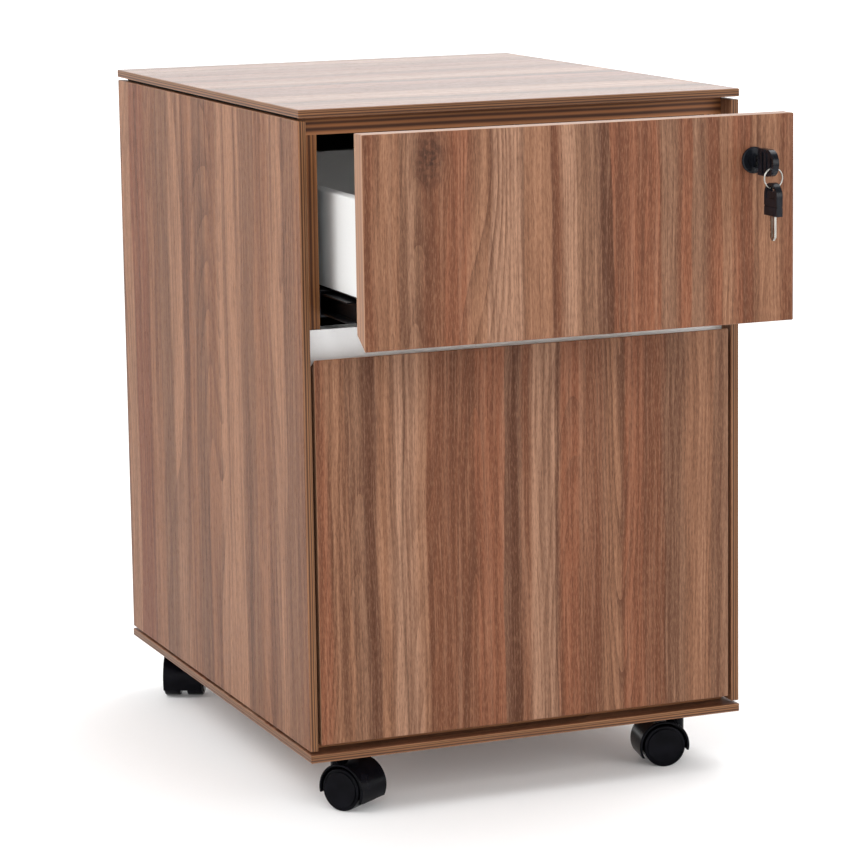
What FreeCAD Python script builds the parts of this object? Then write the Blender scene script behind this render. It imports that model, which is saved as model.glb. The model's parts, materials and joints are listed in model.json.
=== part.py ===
import FreeCAD, Part
import os

# Rolling pedestal cabinet with two drawers, millimetres.
# +X is to the right, +Y to the back, +Z up, and z = 0 is the floor.
# x = 0 is the cabinet's centre plane, and y = 0 halves the depth of the whole thing as it
# stands with its top drawer pulled out by DRAWER_OPEN and the keys hanging from the lock.

Vec = FreeCAD.Vector
Y_AXIS = Vec(0, 1, 0)
Z_AXIS = Vec(0, 0, 1)

# ---- driving dimensions ----------------------------------------------------------------
WIDTH = 400.0
DEPTH = 500.0
HEIGHT = 598.0
CASTER_HEIGHT = 51.0

# Outer skin panels: top, base and two sides, standing off each other by shadow gaps.
SKIN = 7.0
SKIN_SETBACK = 1.5
SHADOW_GAP = 2.5
EDGE_ROUND = 1.0

# Inner carcass.
BOARD = 16.0
CARCASS_SETBACK = 21.5
CARCASS_BACK_SETBACK = 10.0

# Drawer fronts. The back of the edge beside the finger groove is bevelled.
FRONT_WIDTH = 380.0
FRONT_THICK = 18.0
FRONT_BEVEL = 12.5
BOTTOM_GAP = 7.2
LOWER_FRONT_HEIGHT = 327.0
FINGER_GROOVE = 21.5
TOP_FRONT_HEIGHT = 173.0

# Screws and cam fittings.
SCREW_R = 1.8
SCREW_HOLE_R = 1.9
SCREW_HEAD = (3.6, 1.8)
CASTER_SCREW_LENGTH = 14.0
FRONT_SCREW_INSET = 40.0
FRONT_SCREW_DEPTH = 12.0
FRONT_SCREW_ABOVE_FLOOR = 12.0
FRONT_SCREW_BELOW_RIM = 15.0
HOLE_END_GAP = 0.5
CAM_R = 7.4
CAM_POCKET_R = 7.5
CAM_POCKET_DEPTH = 12.5
CAM_FROM_END = 34.0
CAM_FROM_FRONT = 70.0
CAM_FROM_BACK = 60.0

# White cross rail behind the finger groove.
RAIL_THICK = 1.2
RAIL_FLANGE = 18.0
RAIL_OVERLAP = 18.2
RAIL_FRONT_GAP = 0.7
RAIL_SIDE_GAP = 0.5

# Drawer boxes.
DRAWER_OPEN = 118.0
BOX_WIDTH = 336.0
BOX_DEPTH = 445.0
BOX_BOARD = 12.0
BOX_EDGE_ROUND = 2.0
BOTTOM_THICK = 6.0
BOTTOM_RECESS = 13.0
TOP_BOX_LIFT = 34.0
TOP_BOX_HEIGHT = 80.0
LOWER_BOX_LIFT = 44.0
LOWER_BOX_HEIGHT = 220.0
FILE_RAIL_THICK = 1.6
FILE_RAIL_HEIGHT = 22.0
FILE_RAIL_RISE = 6.0

# Full-extension runners under the drawer boxes.
RUNNER_SHEET = 1.4
RUNNER_DROP = 24.0
RUNNER_LIP = 11.0
RUNNER_WEB_INSET = 5.0
RUNNER_FRONT_GAP = 1.0
RUNNER_PLAY = 0.6
SLIDER_PLAY = 0.8
SLIDER_WEB = 3.0

# Lock, in the top drawer's front.
LOCK_INSET = 47.0
LOCK_DROP = 41.5
LOCK_FLANGE_R = 11.0
LOCK_FLANGE_THICK = 2.5
LOCK_FLANGE_CHAMFER = 0.9
HOUSING_R = 9.2
HOUSING_BEHIND = 8.0
PLUG_R = 6.0
PLUG_PROUD = 4.5
TAIL_R = 4.0
TAIL_LENGTH = 3.5
LATCH_REACH = 15.0
LATCH_THICK = 2.0
LATCH_EYE_R = 6.0
LATCH_ARM_HALF = 4.5
LATCH_GAP = 0.4
KEYWAY = (2.3, 8.0, 18.0)
RUNNING_GAP = 0.05
FIXED_GAP = 0.02

# Keys.
KEY_STANDOFF = 12.5
KEY_LENGTH = 27.0
KEY_WIDTH = 22.0
KEY_THICK = 5.5
KEY_BASE = 7.2
KEY_PANEL_INSET = 2.5
KEY_PANEL_DEPTH = 0.7
KEY_PANEL_START = 4.0
KEY_PIN_R = 0.8
KEY_EAR = 2.2
KEY_SCORE = (1.0, 0.5)
KEY_HOLE_AT = 22.0
KEY_HOLE = (3.6, 10.0)
BLADE_LENGTH = 20.5
BLADE_WIDTH = 7.5
BLADE_THICK = 2.0
BLADE_TIP = 3.0
BLADE_CUTS = (6.5, 10.0, 13.5)
BLADE_CUT = (1.6, 1.3)
BLADE_GROOVE = (0.9, 0.4)
RING_MEAN_R = 8.2
RING_WIRE_R = 0.65
HANG_GAP = 0.3

# Lock bar, which slides in a groove in the right liner.
BAR_WIDTH = 14.0
BAR_THICK = 3.0
BAR_GROOVE = (15.0, 5.0)
BAR_FROM_FRONT = 20.0
BAR_SIDE_GAP = 0.8
BAR_END_GAP = 2.0
BAR_BOTTOM = 100.0
BAR_LENGTH = 400.0
LUG_SIZE = (7.5, 8.0, 6.0)
LUG_BELOW_BOX_RIM = 20.0
LUG_BELOW_BAR_TOP = 25.0

# Casters.
CASTER_INSET_X = 41.0
CASTER_INSET_FRONT = 44.5
CASTER_INSET_BACK = 37.0
WHEEL_R = 18.5
WHEEL_SHOULDER = 1.4
CAP_R = 15.6
CAP_PROUD = 0.8
CAP_ROUND = 0.6
GROOVE_WIDTH = 0.7
GROOVE_DEPTH = 0.6
WHEEL_OUT = 18.5
WHEEL_IN = 3.2
AXLE_R = 3.0
TRAIL = 14.0
HOOD_R = 22.5
HOOD_THICK = 2.0
HOOD_RIM_ROUND = 1.2
HUB_R = 6.0
AXLE_INSET = 3.0
AXLE_END_GAP = 0.4
WEB_HALF = 2.7
NECK_R = 7.5
NECK_GAP = 0.5
PIVOT_R = 4.0
BORE_BOTTOM = 39.5
LIP_Z = 14.0
SKIRT_Z = 8.5
PLATE_SIZE = 38.0
PLATE_THICK = 2.0
PLATE_HOLE_AT = 14.0
PLATE_HOLE_R = 2.2
PLATE_CORNER_R = 4.0
CASTERS = {
    "front_left": (-1, -1, 124.0),
    "front_right": (1, -1, -11.5),
    "back_left": (-1, 1, 65.0),
    "back_right": (1, 1, 75.0),
}

# ---- places worked out from them --------------------------------------------------------
HALF = WIDTH / 2
RING_STANDOFF = KEY_STANDOFF + KEY_HOLE_AT
REST_REACH = DRAWER_OPEN - SKIN_SETBACK + RING_STANDOFF + KEY_WIDTH / 2
Y_BACK = (DEPTH + REST_REACH) / 2
Y_EDGE = Y_BACK - DEPTH
Y_FACE = Y_EDGE + SKIN_SETBACK
Y_CARCASS = Y_EDGE + CARCASS_SETBACK
Y_CARCASS_BACK = Y_BACK - CARCASS_BACK_SETBACK
Y_BOX = Y_FACE + FRONT_THICK

Z_BASE = CASTER_HEIGHT
Z_TOP = HEIGHT - SKIN
X_CARCASS = HALF - SKIN
X_INSIDE = X_CARCASS - BOARD
Z_INSIDE = Z_BASE + SKIN + BOARD
Z_INSIDE_TOP = Z_TOP - BOARD

Z_LOWER_FRONT = Z_BASE + SKIN + BOTTOM_GAP
Z_GROOVE = Z_LOWER_FRONT + LOWER_FRONT_HEIGHT
Z_TOP_FRONT = Z_GROOVE + FINGER_GROOVE
Z_TOP_BOX = Z_TOP_FRONT + TOP_BOX_LIFT
Z_LOWER_BOX = Z_LOWER_FRONT + LOWER_BOX_LIFT

LOCK_X = HALF - LOCK_INSET
LOCK_Z = Z_TOP - LOCK_DROP
HOUSING_LENGTH = FRONT_THICK + HOUSING_BEHIND
Y_BAR = Y_CARCASS + BAR_FROM_FRONT

# The ring hangs clear of both keys' holes, allowing for its sag within a key's thickness.
HINGE_AT = KEY_BASE + HANG_GAP + KEY_THICK / 2
RING_SAG = RING_MEAN_R - (RING_MEAN_R ** 2 - KEY_THICK ** 2 / 4) ** 0.5
RING_CLEAR = RING_WIRE_R + RING_SAG + HANG_GAP
RING_TOP_Z = LOCK_Z - KEY_HOLE[1] / 2 + RING_CLEAR
RING_BOTTOM_Z = RING_TOP_Z - 2 * RING_MEAN_R
SPARE_Z = RING_BOTTOM_Z + RING_CLEAR - KEY_HOLE_AT - KEY_HOLE[0] / 2
Y_RING = Y_FACE - RING_STANDOFF

PLATE_Z = Z_BASE - PLATE_THICK
NECK_TOP = PLATE_Z - NECK_GAP
AXLE_CENTRE = Vec(-TRAIL, 0, WHEEL_R)

OPEN = Vec(0, -DRAWER_OPEN, 0)
HALF_OPEN = Vec(0, -DRAWER_OPEN / 2, 0)


# ---- helpers ------------------------------------------------------------------------------
def box(x0, x1, y0, y1, z0, z1):
    """A block between two corners, given in any order along x."""
    low, high = min(x0, x1), max(x0, x1)
    return Part.makeBox(high - low, y1 - y0, z1 - z0, Vec(low, y0, z0))


def rounded(shape, radius=EDGE_ROUND):
    """The shape with every edge rounded."""
    return shape.makeFillet(radius, shape.Edges)


def rod(start, axis, length, radius):
    return Part.makeCylinder(radius, length, start, axis)


def moved(shape, offset):
    copy = shape.copy()
    copy.translate(offset)
    return copy


def save(name, *solids):
    """Write one node. Identical loose pieces share a node as separate solids."""
    shape = solids[0] if len(solids) == 1 else Part.makeCompound(list(solids))
    shape.exportStep("parts/" + name + ".step")


def circles_at(shape, centre):
    """The round edges of a shape that are centred on a point."""
    rounds = [edge for edge in shape.Edges if isinstance(edge.Curve, Part.Circle)]
    return [edge for edge in rounds if edge.Curve.Center.isEqual(centre, 0.01)]


def prism(points, direction):
    """Extrude a closed outline of points along a vector."""
    outline = Part.makePolygon(points + points[:1])
    return Part.Face(outline).extrude(direction)


# ---- skins and carcass --------------------------------------------------------------------
def caster_places():
    for name, (side, end, turn) in CASTERS.items():
        x = side * (HALF - CASTER_INSET_X)
        y = Y_EDGE + CASTER_INSET_FRONT if end < 0 else Y_BACK - CASTER_INSET_BACK
        yield name, Vec(x, y, 0), turn


def plate_screw_places():
    for _, centre, _ in caster_places():
        for dx in (-PLATE_HOLE_AT, PLATE_HOLE_AT):
            for dy in (-PLATE_HOLE_AT, PLATE_HOLE_AT):
                yield centre + Vec(dx, dy, 0)


def make_skins():
    top = box(-HALF, HALF, Y_EDGE, Y_BACK, Z_TOP, HEIGHT)
    base = box(-HALF, HALF, Y_EDGE, Y_BACK, Z_BASE, Z_BASE + SKIN)
    base = rounded(base)
    for place in plate_screw_places():
        base = base.cut(rod(place + Vec(0, 0, Z_BASE - 1), Z_AXIS, SKIN + 2, SCREW_HOLE_R))
    save("top_panel", rounded(top))
    save("base_panel", base)
    for side, name in ((-1, "left_side_panel"), (1, "right_side_panel")):
        panel = box(side * X_CARCASS, side * HALF, Y_EDGE + SKIN_SETBACK, Y_BACK - SKIN_SETBACK,
                    Z_BASE + SKIN + SHADOW_GAP, Z_TOP - SHADOW_GAP)
        save(name, rounded(panel))


def cam_places():
    for z in (Z_INSIDE + CAM_FROM_END, Z_INSIDE_TOP - CAM_FROM_END):
        for y in (Y_CARCASS + CAM_FROM_FRONT, Y_CARCASS_BACK - CAM_FROM_BACK):
            yield y, z


def make_carcass():
    top = box(-X_CARCASS, X_CARCASS, Y_CARCASS, Y_CARCASS_BACK, Z_INSIDE_TOP, Z_TOP)
    bottom = box(-X_CARCASS, X_CARCASS, Y_CARCASS, Y_CARCASS_BACK, Z_BASE + SKIN, Z_INSIDE)
    hole_length = CASTER_SCREW_LENGTH - PLATE_THICK + HOLE_END_GAP
    for place in plate_screw_places():
        bottom = bottom.cut(rod(place + Vec(0, 0, Z_BASE), Z_AXIS, hole_length, SCREW_HOLE_R))
    back = box(-X_INSIDE, X_INSIDE, Y_CARCASS_BACK - BOARD, Y_CARCASS_BACK, Z_INSIDE, Z_INSIDE_TOP)
    save("carcass_top", top)
    save("carcass_bottom", bottom)
    save("back_panel", back)

    cams = []
    for side, name in ((-1, "left_liner"), (1, "right_liner")):
        liner = box(side * X_INSIDE, side * X_CARCASS, Y_CARCASS, Y_CARCASS_BACK, Z_INSIDE, Z_INSIDE_TOP)
        outward = Vec(side, 0, 0)
        for y, z in cam_places():
            mouth = Vec(side * X_INSIDE, y, z)
            liner = liner.cut(rod(mouth, outward, CAM_POCKET_DEPTH, CAM_POCKET_R))
            cams.append(rod(mouth + outward * HANG_GAP, outward, CAM_POCKET_DEPTH - HANG_GAP, CAM_R))
        if side > 0:
            liner = liner.cut(lock_bar_groove())
        save(name, liner)
    save("cam_fittings", *cams)


def make_finger_rail():
    y = Y_BOX + RAIL_FRONT_GAP
    z0 = Z_GROOVE - RAIL_OVERLAP
    z1 = Z_TOP_FRONT
    flange_x = X_INSIDE - RAIL_SIDE_GAP
    rail = box(-X_CARCASS, X_CARCASS, y, y + RAIL_THICK, z0, z1)
    for z in (z0, z1 - RAIL_THICK):
        rail = rail.fuse(box(-flange_x, flange_x, y, y + RAIL_THICK + RAIL_FLANGE, z, z + RAIL_THICK))
    save("finger_rail", rail.removeSplitter())


# ---- lock bar -------------------------------------------------------------------------------
def lock_bar_groove():
    width, depth = BAR_GROOVE
    z0 = Z_BASE + BAR_BOTTOM - BAR_END_GAP
    return box(X_INSIDE - 1, X_INSIDE + depth, Y_BAR - width / 2, Y_BAR + width / 2, z0, Z_INSIDE_TOP + 1)


def make_lock_bar():
    """A flat bar with a lug for each drawer, in front of the drawer sides' outer faces."""
    z0 = Z_BASE + BAR_BOTTOM
    x0 = X_INSIDE + BAR_SIDE_GAP
    bar = box(x0, x0 + BAR_THICK, Y_BAR - BAR_WIDTH / 2, Y_BAR + BAR_WIDTH / 2, z0, z0 + BAR_LENGTH)
    reach, width, height = LUG_SIZE
    for z in (Z_LOWER_BOX + LOWER_BOX_HEIGHT - LUG_BELOW_BOX_RIM, z0 + BAR_LENGTH - LUG_BELOW_BAR_TOP):
        bar = bar.fuse(box(x0 - reach, x0, Y_BAR - width / 2, Y_BAR + width / 2, z, z + height))
    save("lock_bar", bar.removeSplitter())


# ---- runners --------------------------------------------------------------------------------
def runner_parts(side, z_box):
    """The cabinet, middle and drawer members of one closed runner, for one side."""
    y0 = Y_BOX + RAIL_FRONT_GAP + RAIL_THICK + RUNNER_FRONT_GAP
    y1 = Y_BOX + BOX_DEPTH
    box_x = BOX_WIDTH / 2
    sheet = RUNNER_SHEET
    z0 = z_box - RUNNER_DROP
    z1 = z_box - sheet - RUNNER_PLAY

    def bar(x0, x1, za, zb):
        return box(side * x0, side * x1, y0, y1, za, zb)

    lip_x = X_INSIDE - RUNNER_LIP
    cabinet = bar(X_INSIDE - sheet, X_INSIDE, z0, z1)
    cabinet = cabinet.fuse(bar(lip_x, X_INSIDE, z0, z0 + sheet))
    cabinet = cabinet.fuse(bar(lip_x, X_INSIDE, z1 - sheet, z1))

    web_x = box_x - BOX_BOARD - RUNNER_WEB_INSET
    drawer = bar(web_x, web_x + sheet, z0, z_box)
    drawer = drawer.fuse(bar(web_x, web_x + RUNNER_LIP, z0, z0 + sheet))
    drawer = drawer.fuse(bar(web_x, box_x, z_box - sheet, z_box))

    s0 = web_x + sheet + SLIDER_PLAY
    s1 = X_INSIDE - sheet - SLIDER_PLAY
    sz0 = z0 + sheet + SLIDER_PLAY
    sz1 = z1 - sheet - SLIDER_PLAY
    middle_x = (s0 + s1) / 2
    middle = bar(middle_x - SLIDER_WEB / 2, middle_x + SLIDER_WEB / 2, sz0, sz1)
    middle = middle.fuse(bar(s0, s1, sz0, sz0 + sheet))
    middle = middle.fuse(bar(s0, s1, sz1 - sheet, sz1))
    return [member.removeSplitter() for member in (cabinet, middle, drawer)]


def make_runners(name, z_box, open_by, half_open_by):
    pairs = [runner_parts(side, z_box) for side in (-1, 1)]
    save(name + "_runner_rails", *[pair[0] for pair in pairs])
    save(name + "_runner_sliders", *[moved(pair[1], half_open_by) for pair in pairs])
    save(name + "_drawer_runners", *[moved(pair[2], open_by) for pair in pairs])


# ---- drawers --------------------------------------------------------------------------------
def drawer_front(z0, height, bevel_on_top):
    y0 = Y_FACE
    y1 = Y_BOX
    z1 = z0 + height
    back_z0 = z0 if bevel_on_top else z0 + FRONT_BEVEL
    back_z1 = z1 - FRONT_BEVEL if bevel_on_top else z1
    x = -FRONT_WIDTH / 2
    outline = [Vec(x, y0, z0), Vec(x, y1, back_z0), Vec(x, y1, back_z1), Vec(x, y0, z1)]
    return rounded(prism(outline, Vec(FRONT_WIDTH, 0, 0)))


def front_screw_places(z_box, height):
    for x in (-BOX_WIDTH / 2 + FRONT_SCREW_INSET, BOX_WIDTH / 2 - FRONT_SCREW_INSET):
        low = z_box + BOTTOM_RECESS + BOTTOM_THICK + FRONT_SCREW_ABOVE_FLOOR
        for z in (low, z_box + height - FRONT_SCREW_BELOW_RIM):
            yield Vec(x, Y_BOX + BOX_BOARD, z)


def make_drawer(name, front, z_box, height, offset):
    """The box, its front and the screws between them, built closed and moved by the offset."""
    x_out = BOX_WIDTH / 2
    x_in = x_out - BOX_BOARD
    y_end = Y_BOX + BOX_DEPTH
    z1 = z_box + height
    z_bottom = z_box + BOTTOM_RECESS
    z_floor = z_bottom + BOTTOM_THICK

    box_front = box(-x_in, x_in, Y_BOX, Y_BOX + BOX_BOARD, z_box, z1)
    screws = []
    into_front = Vec(0, -1, 0)
    head_r, head_thick = SCREW_HEAD
    for place in front_screw_places(z_box, height):
        hole = rod(place, into_front, BOX_BOARD + FRONT_SCREW_DEPTH + HOLE_END_GAP, SCREW_HOLE_R)
        box_front = box_front.cut(hole)
        front = front.cut(hole)
        shank = rod(place, into_front, BOX_BOARD + FRONT_SCREW_DEPTH, SCREW_R)
        head = rod(place, Y_AXIS, head_thick, head_r)
        screws.append(shank.fuse(head).removeSplitter())

    save(name + "_drawer_front", moved(front, offset))
    save(name + "_drawer_box_front", moved(box_front, offset))
    for side, word in ((-1, "left"), (1, "right")):
        board = box(side * x_in, side * x_out, Y_BOX, y_end, z_box, z1)
        top_edges = [e for e in board.Edges if e.BoundBox.ZMin > z1 - 0.01 and e.BoundBox.YLength > 1]
        save(name + "_drawer_" + word + "_side", moved(board.makeFillet(BOX_EDGE_ROUND, top_edges), offset))
    back = box(-x_in, x_in, y_end - BOX_BOARD, y_end, z_floor, z1)
    bottom = box(-x_in, x_in, Y_BOX + BOX_BOARD, y_end, z_bottom, z_floor)
    save(name + "_drawer_back", moved(back, offset))
    save(name + "_drawer_bottom", moved(bottom, offset))
    save(name + "_drawer_screws", *[moved(screw, offset) for screw in screws])


def make_file_rails():
    """Two flat rails along the lower drawer's sides, which hanging files hook onto."""
    x = BOX_WIDTH / 2 - BOX_BOARD
    z1 = Z_LOWER_BOX + LOWER_BOX_HEIGHT + FILE_RAIL_RISE
    y0 = Y_BOX + BOX_BOARD
    y1 = Y_BOX + BOX_DEPTH - BOX_BOARD
    rails = [
        box(side * (x - FILE_RAIL_THICK), side * x, y0, y1, z1 - FILE_RAIL_HEIGHT, z1)
        for side in (-1, 1)
    ]
    save("file_rails", *rails)


# ---- lock and keys --------------------------------------------------------------------------
def lock_point(distance):
    """A point on the lock's axis, this far in front of the top drawer's face (closed)."""
    return Vec(LOCK_X, Y_FACE - distance, LOCK_Z)


def make_lock():
    flange = rod(lock_point(LOCK_FLANGE_THICK), Y_AXIS, LOCK_FLANGE_THICK, LOCK_FLANGE_R)
    flange = flange.makeChamfer(LOCK_FLANGE_CHAMFER, circles_at(flange, lock_point(LOCK_FLANGE_THICK)))
    body = rod(lock_point(0), Y_AXIS, HOUSING_LENGTH, HOUSING_R)
    bore = rod(lock_point(LOCK_FLANGE_THICK + 1), Y_AXIS, 2 * HOUSING_LENGTH, PLUG_R + RUNNING_GAP)
    save("lock_housing", moved(flange.fuse(body).cut(bore).removeSplitter(), OPEN))

    nose = LOCK_FLANGE_THICK + PLUG_PROUD
    plug = rod(lock_point(nose), Y_AXIS, nose + HOUSING_LENGTH, PLUG_R)
    plug = plug.fuse(rod(lock_point(-HOUSING_LENGTH), Y_AXIS, TAIL_LENGTH, TAIL_R))
    thick, tall, deep = KEYWAY
    front = lock_point(nose)
    keyway = box(front.x - thick / 2, front.x + thick / 2, front.y - 1, front.y + deep,
                 front.z - tall / 2, front.z + tall / 2)
    save("lock_plug", moved(plug.cut(keyway).removeSplitter(), OPEN))

    centre = lock_point(-HOUSING_LENGTH - LATCH_GAP)
    arm = rod(centre, Y_AXIS, LATCH_THICK, LATCH_EYE_R)
    arm = arm.fuse(box(centre.x - LATCH_ARM_HALF, centre.x + LATCH_ARM_HALF,
                       centre.y, centre.y + LATCH_THICK, centre.z - LATCH_REACH, centre.z))
    arm = arm.cut(rod(centre - Y_AXIS, Y_AXIS, LATCH_THICK + 2, TAIL_R + FIXED_GAP))
    save("lock_cam", moved(arm.removeSplitter(), OPEN))


# A key is built flat in the local XY plane: its length runs along +X from the blade end of
# the head, its width along Y and its thickness along Z.
def key_outline(start, inset, thick, z0):
    """An arch: straight from start, with a round far end, inset from the head's edge."""
    radius = KEY_WIDTH / 2 - inset
    centre_x = KEY_LENGTH - KEY_WIDTH / 2
    straight = box(start, centre_x, -radius, radius, z0, z0 + thick)
    arch = Part.makeCylinder(radius, thick, Vec(centre_x, 0, z0))
    right_half = box(centre_x, KEY_LENGTH, -radius, radius, z0, z0 + thick)
    return straight.fuse(arch.common(right_half)).removeSplitter()


def key_hole():
    along, across = KEY_HOLE
    radius = along / 2
    reach = across / 2 - radius
    z0 = -KEY_THICK
    slot = box(KEY_HOLE_AT - radius, KEY_HOLE_AT + radius, -reach, reach, z0, -z0)
    for y in (-reach, reach):
        slot = slot.fuse(Part.makeCylinder(radius, 2 * KEY_THICK, Vec(KEY_HOLE_AT, y, z0)))
    return slot.removeSplitter()


def key_head(start):
    """The head from start onwards, with a sunk panel on each face and the ring hole."""
    half = KEY_THICK / 2
    head = key_outline(start, 0, KEY_THICK, -half)
    for z0 in (-half - 1, half - KEY_PANEL_DEPTH):
        head = head.cut(key_outline(HINGE_AT + KEY_PANEL_START, KEY_PANEL_INSET, KEY_PANEL_DEPTH + 1, z0))
    return head.cut(key_hole()).removeSplitter()


def folding_head():
    """The folding half: a knuckle round the hinge pin, narrower than the rest of the head."""
    half = KEY_THICK / 2
    ear_inner = KEY_WIDTH / 2 - KEY_EAR - HANG_GAP
    head = key_head(HINGE_AT + half + HANG_GAP)
    knuckle = rod(Vec(HINGE_AT, -ear_inner, 0), Y_AXIS, 2 * ear_inner, half)
    bridge = box(HINGE_AT, HINGE_AT + half + HANG_GAP, -ear_inner, ear_inner, -half, half)
    head = head.fuse(knuckle).fuse(bridge)
    pin_hole = rod(Vec(HINGE_AT, -KEY_WIDTH, 0), Y_AXIS, 2 * KEY_WIDTH, KEY_PIN_R + RUNNING_GAP)
    return head.cut(pin_hole).removeSplitter()


def key_base():
    """The fixed half, with an ear at each edge and the hinge pin between them."""
    half = KEY_THICK / 2
    base = box(0, KEY_BASE, -KEY_WIDTH / 2, KEY_WIDTH / 2, -half, half)
    for y in (-KEY_WIDTH / 2, KEY_WIDTH / 2 - KEY_EAR):
        base = base.fuse(box(KEY_BASE, HINGE_AT, y, y + KEY_EAR, -half, half))
        base = base.fuse(rod(Vec(HINGE_AT, y, 0), Y_AXIS, KEY_EAR, half))
    pin = rod(Vec(HINGE_AT, (KEY_EAR - KEY_WIDTH) / 2, 0), Y_AXIS, KEY_WIDTH - KEY_EAR, KEY_PIN_R)
    return base.fuse(pin).removeSplitter()


def key_blade():
    """A flat blade with a shoulder, a pointed tip and cuts along one edge."""
    half = BLADE_WIDTH / 2
    tip_x = BLADE_TIP - BLADE_LENGTH
    outline = [
        Vec(0, -half, 0), Vec(0, half, 0), Vec(tip_x, half, 0), Vec(-BLADE_LENGTH, half - BLADE_TIP, 0),
        Vec(-BLADE_LENGTH, BLADE_TIP - half, 0), Vec(tip_x, -half, 0),
    ]
    blade = prism([point - Vec(0, 0, BLADE_THICK / 2) for point in outline], Vec(0, 0, BLADE_THICK))
    cut_half, cut_deep = BLADE_CUT
    z0 = -BLADE_THICK
    for at in BLADE_CUTS:
        corners = ((-at - cut_half, half), (-at, half - cut_deep), (cut_half - at, half))
        notch = [Vec(x, y, z0) for x, y in corners]
        blade = blade.cut(prism(notch, Vec(0, 0, 2 * BLADE_THICK)))
    groove_half, groove_deep = BLADE_GROOVE
    groove_floor = BLADE_THICK / 2 - groove_deep
    groove = box(tip_x, -BLADE_TIP / 2, -groove_half, groove_half, groove_floor, BLADE_THICK)
    return blade.cut(groove).removeSplitter()


# Inserted key: its length points to -Y and its width along Z. Hanging key: its length points
# up and its width along Y. Both lie in the plane x = LOCK_X.
TO_INSERTED = FreeCAD.Placement(Vec(), FreeCAD.Rotation(Vec(0, -1, 0), Vec(0, 0, 1), Vec(-1, 0, 0), "XYZ"))
TO_HANGING = FreeCAD.Placement(Vec(), FreeCAD.Rotation(Vec(0, 0, 1), Vec(0, 1, 0), Vec(-1, 0, 0), "XYZ"))


def placed(shape, turn, origin):
    copy = shape.copy()
    copy.Placement = FreeCAD.Placement(origin, turn.Rotation).multiply(copy.Placement)
    return copy


def make_keys():
    inserted = lock_point(KEY_STANDOFF) + OPEN
    hanging = Vec(LOCK_X, Y_RING, SPARE_Z) + OPEN
    save("key_base", placed(key_base(), TO_INSERTED, inserted))
    save("key_blade", placed(key_blade(), TO_INSERTED, inserted))
    save("key_head", placed(folding_head(), TO_INSERTED, inserted))

    spare = key_head(0)
    half = KEY_THICK / 2
    score_width, score_deep = KEY_SCORE
    for z0 in (-half - 1, half - score_deep):
        score = box(KEY_BASE, KEY_BASE + score_width, -KEY_WIDTH, KEY_WIDTH, z0, z0 + score_deep + 1)
        spare = spare.cut(score)
    save("spare_key_head", placed(spare.removeSplitter(), TO_HANGING, hanging))
    save("spare_key_blade", placed(key_blade(), TO_HANGING, hanging))

    ring_centre = Vec(LOCK_X, Y_RING, RING_TOP_Z - RING_MEAN_R) + OPEN
    save("key_ring", Part.makeTorus(RING_MEAN_R, RING_WIRE_R, ring_centre, Y_AXIS))


# ---- casters --------------------------------------------------------------------------------
# A caster is built with its pivot on the local Z axis, its axle TRAIL behind it at x = -TRAIL
# and its wheels either side along Y.
def cylinder_y(radius, half_width):
    return rod(AXLE_CENTRE - Y_AXIS * half_width, Y_AXIS, 2 * half_width, radius)


def caster_hood():
    inner_r = HOOD_R - HOOD_THICK
    tube = cylinder_y(HOOD_R, WHEEL_OUT)
    rims = [edge for y in (-WHEEL_OUT, WHEEL_OUT) for edge in circles_at(tube, AXLE_CENTRE + Y_AXIS * y)]
    tube = tube.makeFillet(HOOD_RIM_ROUND, rims).cut(cylinder_y(inner_r, WHEEL_OUT + 1))
    far = 3 * HOOD_R
    above_lip = box(-TRAIL, far, -far, far, LIP_Z, far)
    above_skirt = box(-far, -TRAIL, -far, far, SKIRT_Z, far)
    tube = tube.common(above_lip.fuse(above_skirt))
    into_hood = inner_r + HOOD_THICK / 4
    above_hub = box(-far, far, -far, far, WHEEL_R - HUB_R, far)
    web = cylinder_y(into_hood, WEB_HALF).common(above_hub)
    hub = cylinder_y(HUB_R, WEB_HALF)
    neck = rod(Vec(0, 0, WHEEL_R), Z_AXIS, NECK_TOP - WHEEL_R, NECK_R)
    neck = neck.cut(cylinder_y(into_hood, WHEEL_OUT + 1))
    hood = tube.fuse([web, hub, neck])
    hood = hood.cut(rod(Vec(0, 0, BORE_BOTTOM), Z_AXIS, Z_BASE - BORE_BOTTOM, PIVOT_R + RUNNING_GAP))
    return hood.cut(cylinder_y(AXLE_R + FIXED_GAP, WHEEL_OUT)).removeSplitter()


def caster_axle():
    return cylinder_y(AXLE_R, WHEEL_OUT - AXLE_INSET)


def caster_wheel(side):
    """A wheel with round shoulders, a ring groove and a raised round cap on its outer face."""
    outward = Vec(0, side, 0)
    inner = AXLE_CENTRE + outward * WHEEL_IN
    outer = AXLE_CENTRE + outward * WHEEL_OUT
    cap_face = outer + outward * CAP_PROUD
    tread = rod(inner, outward, WHEEL_OUT - WHEEL_IN, WHEEL_R)
    tread = tread.makeFillet(WHEEL_SHOULDER, circles_at(tread, inner) + circles_at(tread, outer))
    groove_floor = outer - outward * GROOVE_DEPTH
    tread = tread.cut(rod(groove_floor, outward, GROOVE_DEPTH + 1, CAP_R + GROOVE_WIDTH))
    cap = rod(groove_floor, outward, GROOVE_DEPTH + CAP_PROUD, CAP_R)
    cap = cap.makeFillet(CAP_ROUND, circles_at(cap, cap_face))
    bore_length = WHEEL_OUT - AXLE_INSET + AXLE_END_GAP - WHEEL_IN + 1
    bore = rod(inner - outward, outward, bore_length, AXLE_R + RUNNING_GAP)
    return tread.fuse(cap).cut(bore).removeSplitter()


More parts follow.
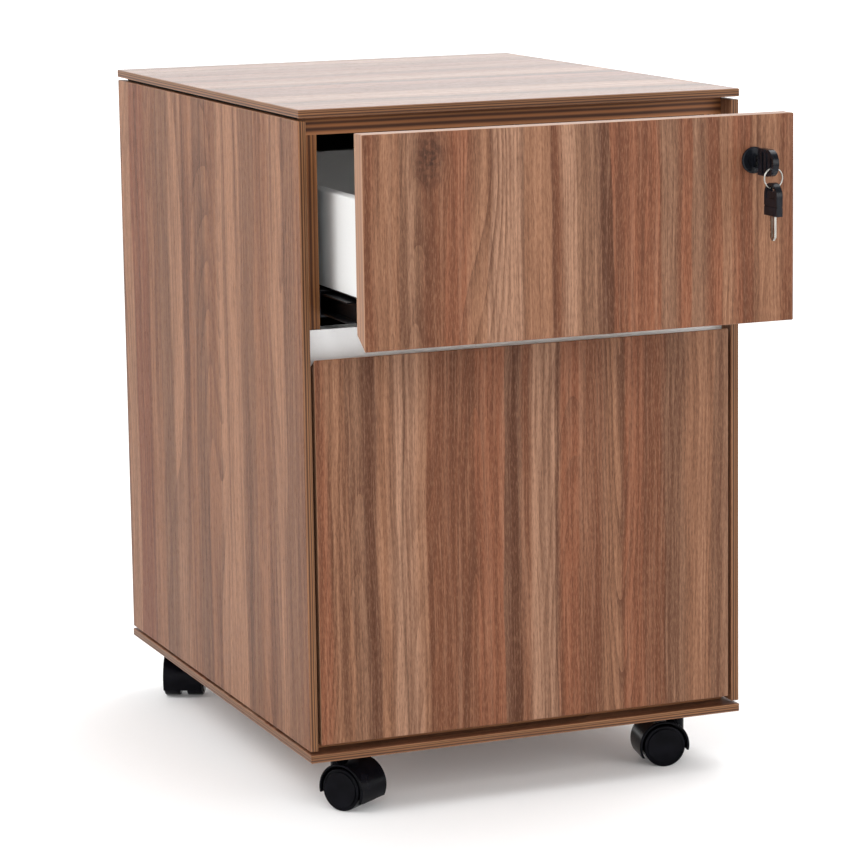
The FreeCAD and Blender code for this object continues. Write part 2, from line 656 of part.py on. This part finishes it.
def make_casters():
    plates = []
    screws = []
    head_r, head_thick = SCREW_HEAD
    for name, centre, turn in caster_places():
        spin = FreeCAD.Placement(Vec(), FreeCAD.Rotation(Z_AXIS, turn))
        pieces = {"hood": caster_hood(), "axle": caster_axle(),
                  "left_wheel": caster_wheel(1), "right_wheel": caster_wheel(-1)}
        for piece, shape in pieces.items():
            save(name + "_caster_" + piece, placed(shape, spin, centre))
        half = PLATE_SIZE / 2
        plate = box(centre.x - half, centre.x + half, centre.y - half, centre.y + half, PLATE_Z, Z_BASE)
        corners = [e for e in plate.Edges if e.BoundBox.ZLength > 1]
        plate = plate.makeFillet(PLATE_CORNER_R, corners)
        pivot = rod(centre + Vec(0, 0, BORE_BOTTOM + NECK_GAP), Z_AXIS, PLATE_Z - BORE_BOTTOM, PIVOT_R)
        plates.append(plate.fuse(pivot))
    for place in plate_screw_places():
        hole = rod(place + Vec(0, 0, PLATE_Z - 1), Z_AXIS, PLATE_THICK + 2, PLATE_HOLE_R)
        plates = [plate.cut(hole) for plate in plates]
        shank = rod(place + Vec(0, 0, PLATE_Z), Z_AXIS, CASTER_SCREW_LENGTH, SCREW_R)
        head = rod(place + Vec(0, 0, PLATE_Z - head_thick), Z_AXIS, head_thick, head_r)
        screws.append(shank.fuse(head).removeSplitter())
    save("caster_plates", *[plate.removeSplitter() for plate in plates])
    save("caster_screws", *screws)


def main():
    os.makedirs("parts", exist_ok=True)
    make_skins()
    make_carcass()
    make_finger_rail()
    make_lock_bar()
    make_runners("top", Z_TOP_BOX, OPEN, HALF_OPEN)
    make_runners("lower", Z_LOWER_BOX, Vec(), Vec())
    top_front = drawer_front(Z_TOP_FRONT, TOP_FRONT_HEIGHT, False)
    top_front = top_front.cut(rod(lock_point(1), Y_AXIS, FRONT_THICK + 2, HOUSING_R + RUNNING_GAP))
    make_drawer("top", top_front, Z_TOP_BOX, TOP_BOX_HEIGHT, OPEN)
    make_drawer("lower", drawer_front(Z_LOWER_FRONT, LOWER_FRONT_HEIGHT, True), Z_LOWER_BOX,
                LOWER_BOX_HEIGHT, Vec())
    make_file_rails()
    make_lock()
    make_keys()
    make_casters()


main()
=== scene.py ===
import json
import math

import bpy
from mathutils import Matrix, Vector

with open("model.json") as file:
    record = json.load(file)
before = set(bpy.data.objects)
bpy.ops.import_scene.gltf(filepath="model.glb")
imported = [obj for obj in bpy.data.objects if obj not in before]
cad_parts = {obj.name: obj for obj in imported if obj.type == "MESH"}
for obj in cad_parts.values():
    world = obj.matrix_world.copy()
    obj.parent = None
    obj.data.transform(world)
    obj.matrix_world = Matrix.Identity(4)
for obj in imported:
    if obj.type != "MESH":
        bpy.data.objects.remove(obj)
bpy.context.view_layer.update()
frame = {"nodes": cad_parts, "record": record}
NODES = frame["nodes"]
MM = 0.001


# ---- node graph helpers -------------------------------------------------------------------
def srgb(red, green, blue):
    """A colour picked on a 0 to 255 display scale, as the linear colour that nodes use."""

    def linear(value):
        share = value / 255
        return share / 12.92 if value <= 10 else ((share + 0.055) / 1.055) ** 2.4

    return (linear(red), linear(green), linear(blue), 1.0)


def grey(value):
    return (value, value, value, 1.0)


class Graph:
    """A material whose nodes are added one call at a time."""

    def __init__(self, name):
        self.material = bpy.data.materials.new(name)
        self.material.use_nodes = True
        self.tree = self.material.node_tree
        self.shader = self.tree.nodes["Principled BSDF"]
        self.place = self.add("ShaderNodeTexCoord").outputs["Object"]
        parts = self.add("ShaderNodeSeparateXYZ", {0: self.place})
        self.axis = dict(zip("xyz", parts.outputs))

    def put(self, socket, value):
        if isinstance(value, bpy.types.NodeSocket):
            self.tree.links.new(value, socket)
        else:
            socket.default_value = value

    def add(self, kind, inputs=None, **settings):
        node = self.tree.nodes.new(kind)
        for key, value in settings.items():
            setattr(node, key, value)
        for key, value in (inputs or {}).items():
            self.put(node.inputs[key], value)
        return node

    def math(self, operation, first, second=0.0, third=0.0):
        inputs = {0: first, 1: second, 2: third}
        return self.add("ShaderNodeMath", inputs, operation=operation).outputs[0]

    def remap(self, value, low, high, new_low, new_high):
        inputs = {0: value, 1: low, 2: high, 3: new_low, 4: new_high}
        return self.add("ShaderNodeMapRange", inputs).outputs[0]

    def vector(self, x=0.0, y=0.0, z=0.0):
        return self.add("ShaderNodeCombineXYZ", {0: x, 1: y, 2: z}).outputs[0]

    def noise(self, vector, scale=1.0, detail=2.0, roughness=0.5):
        inputs = {"Vector": vector, "Scale": scale, "Detail": detail, "Roughness": roughness}
        return self.add("ShaderNodeTexNoise", inputs).outputs[0]

    def grain(self, side, length, scales, seed, detail=2.0, roughness=0.5):
        """Noise with its own scale across and along the grain. The seed picks its slice."""
        per_side, per_length = scales
        across = self.math("MULTIPLY", side, per_side)
        along = self.math("MULTIPLY", length, per_length)
        return self.noise(self.vector(across, along, seed), detail=detail, roughness=roughness)

    def scaled_place(self, scales):
        """The object's own coordinates, each axis times its scale."""
        axes = zip("xyz", scales)
        return self.vector(*[self.math("MULTIPLY", self.axis[a], scale) for a, scale in axes])

    def mix(self, share, first, second, blend="MIX"):
        inputs = {0: share, 6: first, 7: second}
        return self.add("ShaderNodeMix", inputs, data_type="RGBA", blend_type=blend).outputs[2]

    def ramp(self, value, stops):
        """A colour ramp through (place, colour) stops."""
        node = self.add("ShaderNodeValToRGB", {0: value})
        elements = node.color_ramp.elements
        while len(elements) < len(stops):
            elements.new(1.0)
        for element, (place, colour) in zip(elements, stops):
            element.position = place
            element.color = colour
        return node.outputs[0]

    def bump(self, height, distance):
        inputs = {"Height": height, "Distance": distance, "Strength": 1.0}
        self.put(self.shader.inputs["Normal"], self.add("ShaderNodeBump", inputs).outputs[0])

    def set(self, **values):
        for name, value in values.items():
            self.put(self.shader.inputs[name.replace("_", " ")], value)


# ---- walnut laminate ----------------------------------------------------------------------
TONES = {
    "light": srgb(151, 113, 91),
    "tan": srgb(132, 92, 69),
    "grey": srgb(115, 82, 63),
    "brown": srgb(104, 63, 43),
    "red": srgb(120, 72, 50),
    "dark": srgb(72, 41, 26),
}
# Each leaf of veneer: where its middle is across the panel, as a share, and its tone. Each
# line is a thin dark growth ring: its place across the panel and how dark it is.
UPPER_LEAVES = [
    (0.0, "brown"), (0.05, "tan"), (0.11, "grey"), (0.16, "brown"), (0.21, "red"),
    (0.27, "tan"), (0.29, "light"), (0.335, "light"), (0.36, "tan"), (0.40, "tan"),
    (0.43, "brown"), (0.45, "light"), (0.50, "grey"), (0.55, "dark"), (0.57, "red"),
    (0.65, "red"), (0.70, "grey"), (0.735, "red"), (0.77, "grey"), (0.81, "red"),
    (0.84, "tan"), (0.87, "red"), (0.93, "tan"), (1.0, "brown"),
]
UPPER_LINES = [
    (0.062, 0.35), (0.145, 0.35), (0.35, 0.75), (0.42, 0.6), (0.54, 0.5), (0.725, 0.6),
    (0.88, 0.4),
]
LOWER_LEAVES = [
    (0.0, "red"), (0.045, "tan"), (0.10, "grey"), (0.13, "dark"), (0.15, "tan"),
    (0.19, "light"), (0.225, "light"), (0.25, "tan"), (0.27, "brown"), (0.33, "brown"),
    (0.42, "red"), (0.47, "dark"), (0.505, "brown"), (0.52, "light"), (0.56, "light"),
    (0.60, "red"), (0.665, "brown"), (0.71, "tan"), (0.765, "red"), (0.82, "brown"),
    (0.87, "grey"), (0.92, "tan"), (1.0, "grey"),
]
LOWER_LINES = [
    (0.115, 0.5), (0.203, 0.7), (0.25, 0.3), (0.578, 0.8), (0.69, 0.5), (0.80, 0.5),
    (0.845, 0.45),
]
SIDE_LEAVES = [
    (0.0, "tan"), (0.07, "grey"), (0.12, "light"), (0.2, "tan"), (0.27, "grey"),
    (0.33, "light"), (0.4, "light"), (0.47, "tan"), (0.53, "grey"), (0.6, "tan"),
    (0.66, "light"), (0.74, "grey"), (0.8, "tan"), (0.88, "red"), (1.0, "light"),
]
SIDE_LINES = [(0.1, 0.35), (0.3, 0.5), (0.43, 0.35), (0.62, 0.5), (0.77, 0.45), (0.9, 0.35)]

# Shares of the panel's width: a dark line comes in over the first and ends over the second,
# and the joints between leaves are crisp and soft by turns.
LINE_RISE, LINE_FALL = 1.6 * 0.0045, 0.5 * 0.0045
LEAF_JOINTS = (0.0015, 0.009)
LEAF_SWAY = 0.012

# Grain: its scales across and along the panel, per metre, and its octaves of detail.
GRAIN_LAYERS = {
    "streaks": ((120, 1.8), 6),
    "fibres": ((640, 10), 3),
    "flecks": ((1250, 170), 2),
    "pores": ((1300, 130), 1),
}
GRAIN_ROUGHNESS = 0.6
BEND_SCALES, BEND_REACH = (12, 5), 0.010
PORE_EDGE = (0.60, 0.68)
# How the grain colours the leaves: each stain follows one layer, comes in between two of its
# values, and has a greatest strength and a colour.
GRAIN_STAINS = [
    ("streaks", (0.48, 0.68), 0.70, TONES["dark"]),
    ("streaks", (0.48, 0.30), 0.40, TONES["light"]),
    ("fibres", (0.47, 0.68), 0.50, srgb(83, 49, 34)),
    ("fibres", (0.45, 0.32), 0.30, srgb(152, 110, 86)),
    ("flecks", (0.50, 0.70), 0.34, srgb(66, 37, 25)),
    ("flecks", (0.50, 0.32), 0.16, srgb(170, 126, 98)),
]
LINE_COLOUR = srgb(58, 35, 25)
PORE_COLOUR, PORE_STRENGTH = srgb(52, 28, 20), 0.22
RINGS_PER_FIELD = 40

# Where the knot sits on the upper front: across it, below its top edge, and its radius.
KNOT_SHARE, KNOT_BELOW_TOP, KNOT_RADIUS = 0.150, 21 * MM, 11 * MM
KNOT_COLOUR = srgb(40, 24, 18)
KNOT_STRETCH = 0.55     # below 1, the knot is longer along the grain than across it
KNOT_PUSH = 2.2         # how hard it pushes the grain aside
KNOT_REACH, KNOT_MIDDLE = 3, 1.5    # in radii: where the push and the dark middle end

# Colour multipliers: the veneer's on the fronts, the sides and the top, then the edge
# banding's on the carcass boards, the fronts and the outer panels.
FRONT_TINT = (1.07, 1.10, 1.09, 1.0)
# The sides' multiplier is darker and warmer than the fronts': painted shade on the same veneer.
SIDE_PAINTED_SHADE_TINT = (0.92, 0.85, 0.75, 1.0)
# The top's multiplier darkens its veneer a little and takes more red than blue out, greying it
# towards the pale sheen on the top: painted sheen.
TOP_PAINTED_SHEEN_TINT = (0.94, 0.97, 0.98, 1.0)
CARCASS_SHADE = (1.0, 0.82, 0.64, 1.0)
FRONT_SHADE = (0.92, 0.90, 0.88, 1.0)
SKIN_SHADE = (0.80, 0.76, 0.72, 1.0)
WOOD_SHEEN, TOP_SHEEN, BAND_SHEEN = 0.12, 1.0, 0.22

# The stripes of the edge banding, from one face of a panel to the other.
EDGE_STRIPES = [
    (0.0, srgb(158, 118, 88)), (0.14, srgb(142, 100, 70)), (0.24, srgb(62, 38, 25)),
    (0.33, srgb(70, 44, 29)), (0.42, srgb(148, 104, 68)), (0.50, srgb(140, 96, 62)),
    (0.57, srgb(66, 41, 27)), (0.64, srgb(84, 54, 36)), (0.72, srgb(156, 112, 72)),
    (0.80, srgb(82, 53, 35)), (0.88, srgb(134, 94, 62)), (1.0, srgb(160, 120, 84)),
]
STRIPE_WANDER = 0.035
STRIPE_BLUR_COLOUR = srgb(160, 122, 98)
BAND_FIBRE_COLOUR = srgb(92, 58, 38)
BAND_ACROSS, BAND_ALONG = 900, 10


def across_panel(graph, across, low, high):
    """How far across a panel a point is, from 0 to 1."""
    return graph.remap(graph.axis[across], low, high, 0.0, 1.0)


def wood_fibres(graph, across, along, seed):
    """The grain's layers by name, along one axis and gently bent."""
    side, length = graph.axis[across], graph.axis[along]
    bend = graph.grain(side, length, BEND_SCALES, seed)
    side = graph.math("MULTIPLY_ADD", bend, BEND_REACH, side)
    layers = {
        name: graph.grain(side, length, scales, seed, detail, GRAIN_ROUGHNESS)
        for name, (scales, detail) in GRAIN_LAYERS.items()
    }
    layers["pores"] = graph.remap(layers["pores"], *PORE_EDGE, 0.0, 1.0)
    return layers


def walnut(name, across, along, low, high, leaves, lines, seed,
           knot=None, sheen=WOOD_SHEEN, tint=FRONT_TINT):
    """Veneer leaves side by side across a panel, with fibres and pores along it."""
    graph = Graph(name)
    share = across_panel(graph, across, low, high)
    length = graph.axis[along]
    sway = graph.grain(share, length, (4, 3.2), seed)
    share = graph.math("ADD", share, graph.remap(sway, 0.3, 0.7, -LEAF_SWAY, LEAF_SWAY))
    if knot:
        share, smudge = knot_swirl(graph, share, across, along, knot)

    colour = leaf_colour(graph, share, leaves)
    colour = graph.mix(dark_lines(graph, share, length, lines, seed), colour, LINE_COLOUR)
    colour = graph.mix(growth_rings(graph, share, length, seed), colour, TONES["dark"])
    layers = wood_fibres(graph, across, along, seed)
    for layer, (start, end), strength, stain in GRAIN_STAINS:
        cover = graph.remap(layers[layer], start, end, 0.0, strength)
        colour = graph.mix(cover, colour, stain)
    colour = graph.mix(1.0, colour, tint, blend="MULTIPLY")
    fibres, pores = layers["fibres"], layers["pores"]
    colour = graph.mix(graph.math("MULTIPLY", pores, PORE_STRENGTH), colour, PORE_COLOUR)
    if knot:
        colour = graph.mix(smudge, colour, KNOT_COLOUR)

    rough = graph.math("MULTIPLY_ADD", fibres, 0.12, 0.40)
    rough = graph.math("MULTIPLY_ADD", pores, 0.15, rough)
    graph.set(Base_Color=colour, Roughness=rough, IOR=1.5, Specular_IOR_Level=sheen)
    ridges = graph.math("MULTIPLY", fibres, 0.4)
    graph.bump(graph.math("ADD", ridges, graph.math("MULTIPLY", pores, -1.0)), 0.05 * MM)
    return graph.material


def leaf_colour(graph, share, leaves):
    """Flat leaves with joints between them. A ramp holds too few stops, so two share them."""
    stops = []
    for i, (place, tone) in enumerate(leaves):
        start, end = 0.0, 1.0
        if i > 0:
            start = (leaves[i - 1][0] + place) / 2 + LEAF_JOINTS[i % 2]
        if i + 1 < len(leaves):
            end = (place + leaves[i + 1][0]) / 2 - LEAF_JOINTS[(i + 1) % 2]
        stops += [(start, TONES[tone]), (end, TONES[tone])]
    half = len(leaves) // 2 * 2
    switch = graph.math("GREATER_THAN", share, (stops[half - 1][0] + stops[half][0]) / 2)
    return graph.mix(switch, graph.ramp(share, stops[:half]), graph.ramp(share, stops[half:]))


def dark_lines(graph, share, length, lines, seed):
    """How dark the thin lines are at a point. Each one fades in and out along its length."""
    stops = [(0.0, grey(0))]
    for place, depth in lines:
        stops.append((place - LINE_RISE, grey(0)))
        stops.append((place, grey(depth)))
        stops.append((place + LINE_FALL, grey(0)))
    fade = graph.grain(share, length, (9, 6), seed + 3)
    line = graph.ramp(share, stops)
    return graph.math("MULTIPLY", line, graph.remap(fade, 0.3, 0.6, 0.7, 1.2))


def growth_rings(graph, share, length, seed):
    """Fine rings that fade in slowly, end sharply, and wander and fork along the grain."""
    field = graph.grain(share, length, (4, 0.8), seed + 7, detail=1)
    ring = graph.math("FRACT", graph.math("MULTIPLY", field, RINGS_PER_FIELD))
    depth = graph.grain(share, length, (11, 1.5), seed + 5)
    ring = graph.remap(ring, 0.40, 1.0, 0.0, 0.70)
    return graph.math("MULTIPLY", ring, graph.remap(depth, 0.38, 0.62, 0.1, 1.0))


def knot_swirl(graph, share, across, along, knot):
    """Push the grain aside around a small knot and darken its middle."""
    side, length, radius = knot
    ds = graph.math("SUBTRACT", graph.axis[across], side)
    dl = graph.math("SUBTRACT", graph.axis[along], length)
    dl = graph.math("MULTIPLY", dl, KNOT_STRETCH)
    squares = [graph.math("MULTIPLY", d, d) for d in (ds, dl)]
    distance = graph.math("SQRT", graph.math("ADD", *squares))
    near = graph.remap(distance, 0.0, KNOT_REACH * radius, 1.0, 0.0)
    near = graph.math("MULTIPLY", near, near)
    push = graph.math("MULTIPLY", near, graph.math("MULTIPLY", ds, KNOT_PUSH))
    broken = graph.noise(graph.place, scale=260, detail=3)
    middle = graph.remap(distance, 0.0, KNOT_MIDDLE * radius, 0.95, 0.0)
    smudge = graph.math("MULTIPLY", middle, graph.remap(broken, 0.38, 0.58, 0.35, 1.0))
    return graph.math("SUBTRACT", share, push), smudge


def edge_band(name, across, low, high, shade, softness=0.0):
    """Edge banding: thin stripes that run round the panel, spread across its thickness."""
    graph = Graph(name)
    share = across_panel(graph, across, low, high)
    wander = graph.noise(graph.scaled_place((6.0, 6.0, 6.0)), detail=1)
    wander = graph.remap(wander, 0.3, 0.7, -STRIPE_WANDER, STRIPE_WANDER)
    stripes = graph.ramp(graph.math("ADD", share, wander), EDGE_STRIPES)
    colour = graph.mix(softness, stripes, STRIPE_BLUR_COLOUR)
    scales = [BAND_ACROSS if axis == across else BAND_ALONG for axis in "xyz"]
    fine = graph.noise(graph.scaled_place(scales), detail=2)
    colour = graph.mix(graph.remap(fine, 0.45, 0.75, 0.0, 0.45), colour, BAND_FIBRE_COLOUR)
    colour = graph.mix(1.0, colour, shade, blend="MULTIPLY")
    rough = graph.math("MULTIPLY_ADD", fine, 0.1, 0.42)
    graph.set(Base_Color=colour, Roughness=rough, Specular_IOR_Level=BAND_SHEEN)
    graph.bump(fine, 0.04 * MM)
    return graph.material


# ---- the other materials ------------------------------------------------------------------
def coated(name, scale, detail, tones, roughness, spread, depth, **shader):
    """An even coat with a fine speckle in its colour, its gloss and its surface."""
    graph = Graph(name)
    speckle = graph.noise(graph.place, scale=scale, detail=detail)
    rough = graph.math("MULTIPLY_ADD", speckle, spread, roughness)
    graph.set(Base_Color=graph.mix(speckle, *tones), Roughness=rough, **shader)
    graph.bump(speckle, depth)
    return graph.material


def charcoal_board():
    tones = (srgb(9, 9, 9), srgb(19, 18, 18))
    return coated("charcoal_board", 1400, 3, tones, 0.6, 0.15, 0.04 * MM, Specular_IOR_Level=0.15)


def white_board():
    tones = (srgb(208, 208, 206), srgb(219, 219, 218))
    return coated("white_board", 900, 3, tones, 0.36, 0.12, 0.03 * MM)


def white_paint():
    tones = (srgb(246, 246, 245), srgb(251, 251, 251))
    return coated("white_paint", 420, 2, tones, 0.3, 0.1, 0.04 * MM)


def plated_metal(name, low, high, roughness, grain=(900, 40, 900)):
    """Plated or drawn metal, with fine lines along the axis whose grain scale is smallest."""
    graph = Graph(name)
    lines = graph.noise(graph.scaled_place(grain))
    blotches = graph.noise(graph.place, scale=60, detail=3)
    rough = graph.math("MULTIPLY_ADD", blotches, 0.08, roughness)
    rough = graph.math("MULTIPLY_ADD", lines, 0.14, rough)
    graph.set(Base_Color=graph.mix(blotches, low, high), Roughness=rough, Metallic=1.0)
    graph.bump(lines, 0.02 * MM)
    return graph.material


def black_plastic(name, tones, roughness, texture, gloss):
    """Moulded black plastic with a fine spark texture and faint rubbed patches."""
    graph = Graph(name)
    spark = graph.noise(graph.place, scale=texture, detail=2)
    rubbed = graph.noise(graph.place, scale=90, detail=3)
    colour = graph.mix(graph.remap(rubbed, 0.35, 0.65, 0.0, 1.0), *tones)
    rough = graph.math("MULTIPLY_ADD", rubbed, 0.10, roughness)
    rough = graph.math("MULTIPLY_ADD", spark, 0.05, rough)
    graph.set(Base_Color=colour, Roughness=rough, Specular_IOR_Level=gloss)
    graph.bump(spark, 0.02 * MM)
    return graph.material


# ---- dress the nodes ----------------------------------------------------------------------
FACING = 0.6            # a face looks along an axis when its normal has more than this of it
FRONT_DEPTH = 2 * MM    # how far behind a board's front a face still counts as its front
FRONT_BAND = {"shade": FRONT_SHADE, "softness": 0.65}


def paint(node, *materials):
    slots = NODES[node].data.materials
    slots.clear()
    for material in materials:
        slots.append(material)


def paint_by_face(node, materials, choose):
    """Give each face of a node the material that choose(normal, centre) names."""
    paint(node, *materials.values())
    order = list(materials)
    for polygon in NODES[node].data.polygons:
        polygon.material_index = order.index(choose(polygon.normal, polygon.center))


def corners(node):
    """The low and high corners of a node in its own coordinates."""
    points = [Vector(point) for point in NODES[node].bound_box]
    low = [min(point[i] for point in points) for i in range(3)]
    high = [max(point[i] for point in points) for i in range(3)]
    return dict(zip("xyz", low)), dict(zip("xyz", high))


def band_for(node, thickness, shade, softness=0.0):
    low, high = corners(node)
    return edge_band("edge_" + node, thickness, low[thickness], high[thickness], shade, softness)


def veneered(node, thickness, across, along, leaves, lines, seed,
             flip=False, shade=SKIN_SHADE, softness=0.0, **look):
    """A panel with veneer on its two faces and banding on its edges."""
    low, high = corners(node)
    start, end = low[across], high[across]
    if flip:
        start, end = end, start
    veneer = walnut("walnut_" + node, across, along, start, end, leaves, lines, seed, **look)
    index = "xyz".index(thickness)
    paint_by_face(node, {"face": veneer, "edge": band_for(node, thickness, shade, softness)},
                  lambda normal, _: "face" if abs(normal[index]) > FACING else "edge")


def carcass_board(node, thickness):
    """A charcoal board with walnut banding on its front edge."""
    front = corners(node)[0]["y"] + FRONT_DEPTH

    def choose(normal, centre):
        return "edge" if normal.y < -FACING and centre.y < front else "board"

    band = band_for(node, thickness, CARCASS_SHADE)
    paint_by_face(node, {"board": CHARCOAL, "edge": band}, choose)


CHARCOAL = charcoal_board()


def dress_panels():
    low, high = corners("top_drawer_front")
    knot_side = low["x"] + KNOT_SHARE * (high["x"] - low["x"])
    knot = (knot_side, high["z"] - KNOT_BELOW_TOP, KNOT_RADIUS)
    veneered("top_drawer_front", "y", "x", "z", UPPER_LEAVES, UPPER_LINES, 1.7,
             knot=knot, **FRONT_BAND)
    veneered("lower_drawer_front", "y", "x", "z", LOWER_LEAVES, LOWER_LINES, 5.2, **FRONT_BAND)
    # The side panels take the darker painted-shade multiplier.
    veneered("left_side_panel", "x", "y", "z", SIDE_LEAVES, SIDE_LINES, 9.4, tint=SIDE_PAINTED_SHADE_TINT)
    veneered("right_side_panel", "x", "y", "z", SIDE_LEAVES, SIDE_LINES, 14.1,
             flip=True, tint=SIDE_PAINTED_SHADE_TINT)
    # The top panel takes the greyer painted-sheen multiplier.
    veneered("top_panel", "z", "y", "x", LOWER_LEAVES, LOWER_LINES, 21.3,
             sheen=TOP_SHEEN, tint=TOP_PAINTED_SHEEN_TINT)
    veneered("base_panel", "z", "y", "x", UPPER_LEAVES, UPPER_LINES, 27.8)
    for node in ("carcass_top", "carcass_bottom"):
        carcass_board(node, "z")
    for node in ("left_liner", "right_liner"):
        carcass_board(node, "x")
    paint("back_panel", CHARCOAL)


def dress_the_rest():
    board = white_board()
    for drawer in ("top", "lower"):
        for piece in ("box_front", "left_side", "right_side", "back", "bottom"):
            paint(drawer + "_drawer_" + piece, board)
    paint("finger_rail", white_paint())
    zinc = plated_metal("zinc_plate", srgb(168, 170, 173), srgb(196, 198, 200), 0.26)
    # Near-black metal for the runners: painted shade.
    runner = plated_metal("black_zinc", srgb(34, 35, 38), srgb(52, 53, 56), 0.3)
    aluminium = plated_metal("mill_aluminium", srgb(188, 190, 192), srgb(206, 207, 208), 0.3)
    nickel = plated_metal("nickel_plate", srgb(140, 137, 131), srgb(178, 174, 167), 0.16,
                          (500, 500, 60))
    lock_tones = (srgb(12, 13, 17), srgb(21, 23, 29))
    nylon_tones = (srgb(5, 5, 8), srgb(13, 13, 18))
    by_slot = {
        "zinc_steel": zinc,
        "aluminium": aluminium,
        "nickel": nickel,
        "black_plastic": black_plastic("lock_plastic", lock_tones, 0.16, 1500, 0.16),
        "caster_nylon": black_plastic("caster_nylon", nylon_tones, 0.14, 1100, 0.055),
    }
    # The runners get near-black metal instead of their slot's bright zinc: painted shade, as dark
    # as the shaded inside of the carcass they run in.
    for part in frame["record"]["subparts"]:
        if part["material_slot"] in by_slot:
            is_runner = "runner" in part["node"]
            paint(part["node"], runner if is_runner else by_slot[part["material_slot"]])


dress_panels()
dress_the_rest()


# ---- floor, light and camera --------------------------------------------------------------
FLOOR_RADIUS, FLOOR_BEND, WALL_HEIGHT = 6.5, 2.5, 5.0
BEND_STEPS, FLOOR_TURNS = 14, 96
GLOW_START, GLOW_END = 1.5, 6.0     # the floor's glow grows between these distances
GLOW_NEAR, GLOW_FAR = 0.05, 0.62


def floor_profile():
    """The floor's cross section from near its middle outwards, as (reach, height) points."""
    profile = [(0.6 * FLOOR_RADIUS, 0.0), (FLOOR_RADIUS, 0.0)]
    for step in range(1, BEND_STEPS + 1):
        angle = math.pi / 2 * step / BEND_STEPS
        reach = FLOOR_RADIUS + FLOOR_BEND * math.sin(angle)
        profile.append((reach, FLOOR_BEND - FLOOR_BEND * math.cos(angle)))
    profile.append((FLOOR_RADIUS + FLOOR_BEND, WALL_HEIGHT))
    return profile


def floor_paper():
    graph = Graph("floor_paper")
    tooth = graph.noise(graph.place, scale=300, detail=2)
    inputs = {0: graph.place}
    away = graph.add("ShaderNodeVectorMath", inputs, operation="LENGTH").outputs["Value"]
    colour = graph.mix(tooth, grey(0.90), grey(0.92))
    graph.set(Base_Color=colour, Roughness=0.9, Emission_Color=grey(1.0))
    glow = graph.remap(away, GLOW_START, GLOW_END, GLOW_NEAR, GLOW_FAR)
    graph.set(Emission_Strength=glow)
    return graph.material


def backdrop():
    """A pale round floor that curves up into a wall on every side, far from the object."""
    turns = FLOOR_TURNS
    profile = floor_profile()
    vertices = [(0.0, 0.0, 0.0)]
    for reach, height in profile:
        for turn in range(turns):
            angle = 2 * math.pi * turn / turns
            vertices.append((reach * math.cos(angle), reach * math.sin(angle), height))
    faces = [(0, 1 + turn, 1 + (turn + 1) % turns) for turn in range(turns)]
    for ring in range(len(profile) - 1):
        inner, outer = 1 + ring * turns, 1 + (ring + 1) * turns
        for turn in range(turns):
            after = (turn + 1) % turns
            faces.append((inner + turn, outer + turn, outer + after, inner + after))
    mesh = bpy.data.meshes.new("floor")
    mesh.from_pydata(vertices, [], faces)
    mesh.shade_smooth()
    floor = bpy.data.objects.new("floor", mesh)
    bpy.context.scene.collection.objects.link(floor)
    mesh.materials.append(floor_paper())


# Each softbox: where it stands, what it faces, its width and height, and its watts.
MIDDLE = (0, 0, 0.3)
SOFTBOXES = {
    "overhead": ((0.95, 0.65, 2.5), MIDDLE, (2.0, 2.0), 43),
    "left_box": ((-1.4, -0.4, 1.6), (-0.2, 0, 0.6), (0.9, 0.9), 21),
    "front_box": ((1.2, -2.8, 1.2), MIDDLE, (1.8, 1.6), 27),
    "back_box": ((0.4, 2.6, 1.5), (0, 0, 0.6), (2.6, 1.6), 15),
    "kicker": ((-0.9, -2.4, 1.9), MIDDLE, (0.35, 0.35), 8),
}
WORLD_STRENGTH = 0.40


def softbox(name, place, target, size, watts):
    light = bpy.data.lights.new(name, "AREA")
    light.shape = "RECTANGLE"
    light.size, light.size_y = size
    light.energy = watts
    lamp = bpy.data.objects.new(name, light)
    lamp.location = place
    lamp.rotation_euler = (Vector(target) - Vector(place)).to_track_quat("-Z", "Y").to_euler()
    bpy.context.scene.collection.objects.link(lamp)


def studio():
    world = bpy.data.worlds.new("studio")
    world.use_nodes = True
    background = world.node_tree.nodes["Background"].inputs
    background["Color"].default_value = grey(1)
    background["Strength"].default_value = WORLD_STRENGTH
    scene = bpy.context.scene
    scene.world = world
    scene.view_settings.view_transform = "Standard"
    for name, settings in SOFTBOXES.items():
        softbox(name, *settings)


# The photograph's viewpoint: metres, degrees and millimetres. It was taken with a much larger
# lens shift. A small one keeps the other views in the frame, and costs a few pixels here.
CAMERA_PLACE = (-1.1411, -2.7768, 0.8403)
CAMERA_YAW, CAMERA_PITCH, CAMERA_ROLL = 21.987, 9.223, -0.832
CAMERA_LENS, CAMERA_SENSOR = 143.46, 36.0
CAMERA_SHIFT = 0.08


def camera():
    data = bpy.data.cameras.new("camera")
    data.lens = CAMERA_LENS
    data.sensor_width = CAMERA_SENSOR
    data.shift_y = -CAMERA_SHIFT
    eye = bpy.data.objects.new("camera", data)
    turn = Matrix.Rotation(math.radians(-CAMERA_YAW), 3, "Z")
    tilt = Matrix.Rotation(math.radians(90 - CAMERA_PITCH), 3, "X")
    roll = Matrix.Rotation(math.radians(CAMERA_ROLL), 3, "Z")
    eye.matrix_world = Matrix.Translation(CAMERA_PLACE) @ (turn @ tilt @ roll).to_4x4()
    bpy.context.scene.collection.objects.link(eye)
    bpy.context.scene.camera = eye


backdrop()
studio()
camera()
